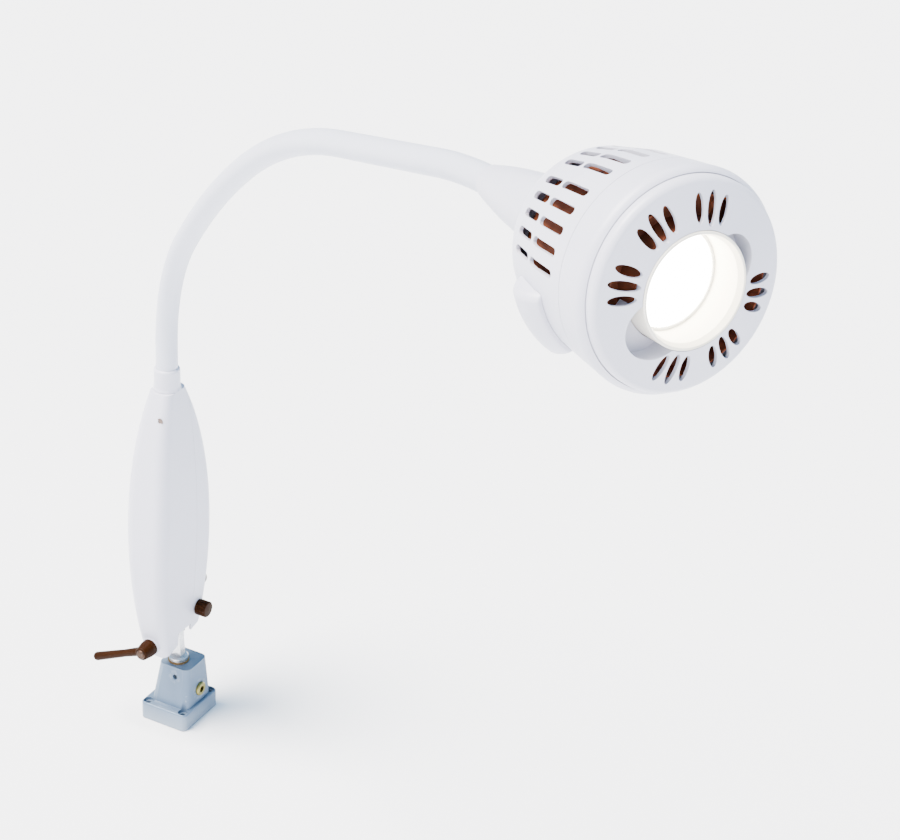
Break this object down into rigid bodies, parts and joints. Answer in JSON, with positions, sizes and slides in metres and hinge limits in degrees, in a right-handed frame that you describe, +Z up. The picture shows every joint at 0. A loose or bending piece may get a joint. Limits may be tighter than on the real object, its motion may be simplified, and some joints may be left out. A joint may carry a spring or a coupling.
{
  "type": "examination lamp",
  "caption": "Wall or rail mounted medical examination lamp: cast swivel block, tilting transformer housing with clamp lever, gooseneck arm and round vented lamp head.",
  "frame": {"origin": "centre of the mounting flange's underside, on the swivel axis", "axes": "+Z up along the swivel post, -Y out of the front face that carries the clamp lever; the arm reaches out 32 degrees clockwise from +X seen from above"},
  "size_m": [0.7215, 0.498, 0.8341],
  "materials": {
    "cast_alloy": "satin cast and clear coated",
    "bronze": "turned",
    "brass": "turned",
    "steel": "zinc plated",
    "dark_steel": "black oxide",
    "white_shell": "fine satin moulding",
    "white_sleeve": "smooth soft PVC",
    "dark_plastic": "glass filled nylon",
    "core_iron": "stamped laminations",
    "winding": "taped winding",
    "cream_plastic": "moulded",
    "black_plastic": "moulded",
    "hose_steel": "wound strip",
    "copper_brown": "heat stained",
    "mirror_coat": "dichroic",
    "lens_glass": "polished",
    "bulb_glass": "quartz",
    "ceramic": "steatite",
    "nylon": "moulded"
  },
  "bodies": {
    "base": {"base_block": "cast_alloy", "bore_bush": "bronze", "thrust_washer": "bronze", "post_clamp_screw": "brass", "bush_lock_screw": "dark_steel"},
    "post": {"swivel_post": "steel"},
    "housing": {"friction_washers": "bronze", "tilt_bracket": "dark_steel", "tilt_bolt": "steel", "tilt_nut": "steel", "clamp_spacer": "steel", "housing_front_shell": "white_shell", "housing_rear_shell": "white_shell", "housing_screws": "steel", "transformer_core": "core_iron", "transformer_coil": "winding", "terminal_block": "cream_plastic", "fuse_holder": "black_plastic", "rotary_switch": "black_plastic", "cord_gland": "black_plastic", "arm_socket": "steel", "arm_socket_nut": "steel", "base_ferrule": "white_shell", "gooseneck_sleeve_0": "white_sleeve", "gooseneck_hose_0": "hose_steel"},
    "lever": {"clamp_lever": "dark_plastic", "lever_screw": "steel"},
    "knob": {"switch_knob": "dark_plastic", "switch_spindle": "steel"},
    "link_1": {"gooseneck_sleeve_1": "white_sleeve", "gooseneck_hose_1": "hose_steel"},
    "link_2": {"gooseneck_sleeve_2": "white_sleeve", "gooseneck_hose_2": "hose_steel"},
    "link_3": {"gooseneck_sleeve_3": "white_sleeve", "gooseneck_hose_3": "hose_steel"},
    "link_4": {"gooseneck_sleeve_4": "white_sleeve", "gooseneck_hose_4": "hose_steel"},
    "link_5": {"gooseneck_sleeve_5": "white_sleeve", "gooseneck_hose_5": "hose_steel", "neck_spindle": "steel", "spindle_nut": "steel"},
    "head": {"neck_boot": "white_shell", "swivel_bush": "nylon", "rear_housing": "white_shell", "front_drum": "white_shell", "front_ring": "white_shell", "ring_screws": "steel", "head_handle": "white_shell", "handle_screws": "steel", "heat_shield": "copper_brown", "reflector": "mirror_coat", "halogen_bulb": "bulb_glass", "lamp_socket": "ceramic", "socket_bracket": "steel", "bracket_screws": "steel"},
    "lens_cell": {"lens_barrel": "white_shell", "lens": "lens_glass", "lens_retaining_ring": "steel", "heat_filter": "lens_glass", "filter_carrier": "black_plastic"}
  },
  "joints": [
    {"name": "post_swivel", "type": "hinge", "parent": "base", "child": "post", "pos_m": [0, 0, 0.06], "axis": [0, 0, 1], "range_deg": [-160, 160]},
    {"name": "housing_tilt", "type": "hinge", "parent": "post", "child": "housing", "pos_m": [-0.006, 0, 0.094], "axis": [0, 1, 0], "range_deg": [-35, 35]},
    {"name": "lever_turn", "type": "hinge", "parent": "housing", "child": "lever", "pos_m": [-0.006, -0.046, 0.094], "axis": [0, -1, 0], "range_deg": [-60, 60]},
    {"name": "knob_turn", "type": "hinge", "parent": "housing", "child": "knob", "pos_m": [0.015, 0.019, 0.114], "axis": [1, 0, 0], "range_deg": [0, 90]},
    {"name": "gooseneck_bend_1", "type": "hinge", "parent": "housing", "child": "link_1", "pos_m": [-0.006, -0.004, 0.4], "axis": [0.527, 0.8499, 0], "range_deg": [-20, 20]},
    {"name": "gooseneck_sway_2", "type": "hinge", "parent": "link_1", "child": "link_2", "pos_m": [0.03046, -0.0266, 0.51785], "axis": [-0.6511, 0.4037, 0.6428], "range_deg": [-20, 20]},
    {"name": "gooseneck_bend_3", "type": "hinge", "parent": "link_2", "child": "link_3", "pos_m": [0.13524, -0.09157, 0.63282], "axis": [0.527, 0.8499, 0], "range_deg": [-20, 20]},
    {"name": "gooseneck_sway_4", "type": "hinge", "parent": "link_3", "child": "link_4", "pos_m": [0.26639, -0.17289, 0.70527], "axis": [-0.2099, 0.1302, 0.969], "range_deg": [-20, 20]},
    {"name": "gooseneck_bend_5", "type": "hinge", "parent": "link_4", "child": "link_5", "pos_m": [0.38375, -0.24566, 0.74047], "axis": [0.527, 0.8499, 0], "range_deg": [-20, 20]},
    {"name": "head_turn", "type": "hinge", "parent": "link_5", "child": "head", "pos_m": [0.44367, -0.28281, 0.75177], "axis": [0.8479, -0.5257, 0.068], "range_deg": [-150, 150]},
    {"name": "lens_twist", "type": "hinge", "parent": "head", "child": "lens_cell", "pos_m": [0.62165, -0.39316, 0.76604], "axis": [0.8479, -0.5257, 0.068], "range_deg": [0, 25]}
  ]
}
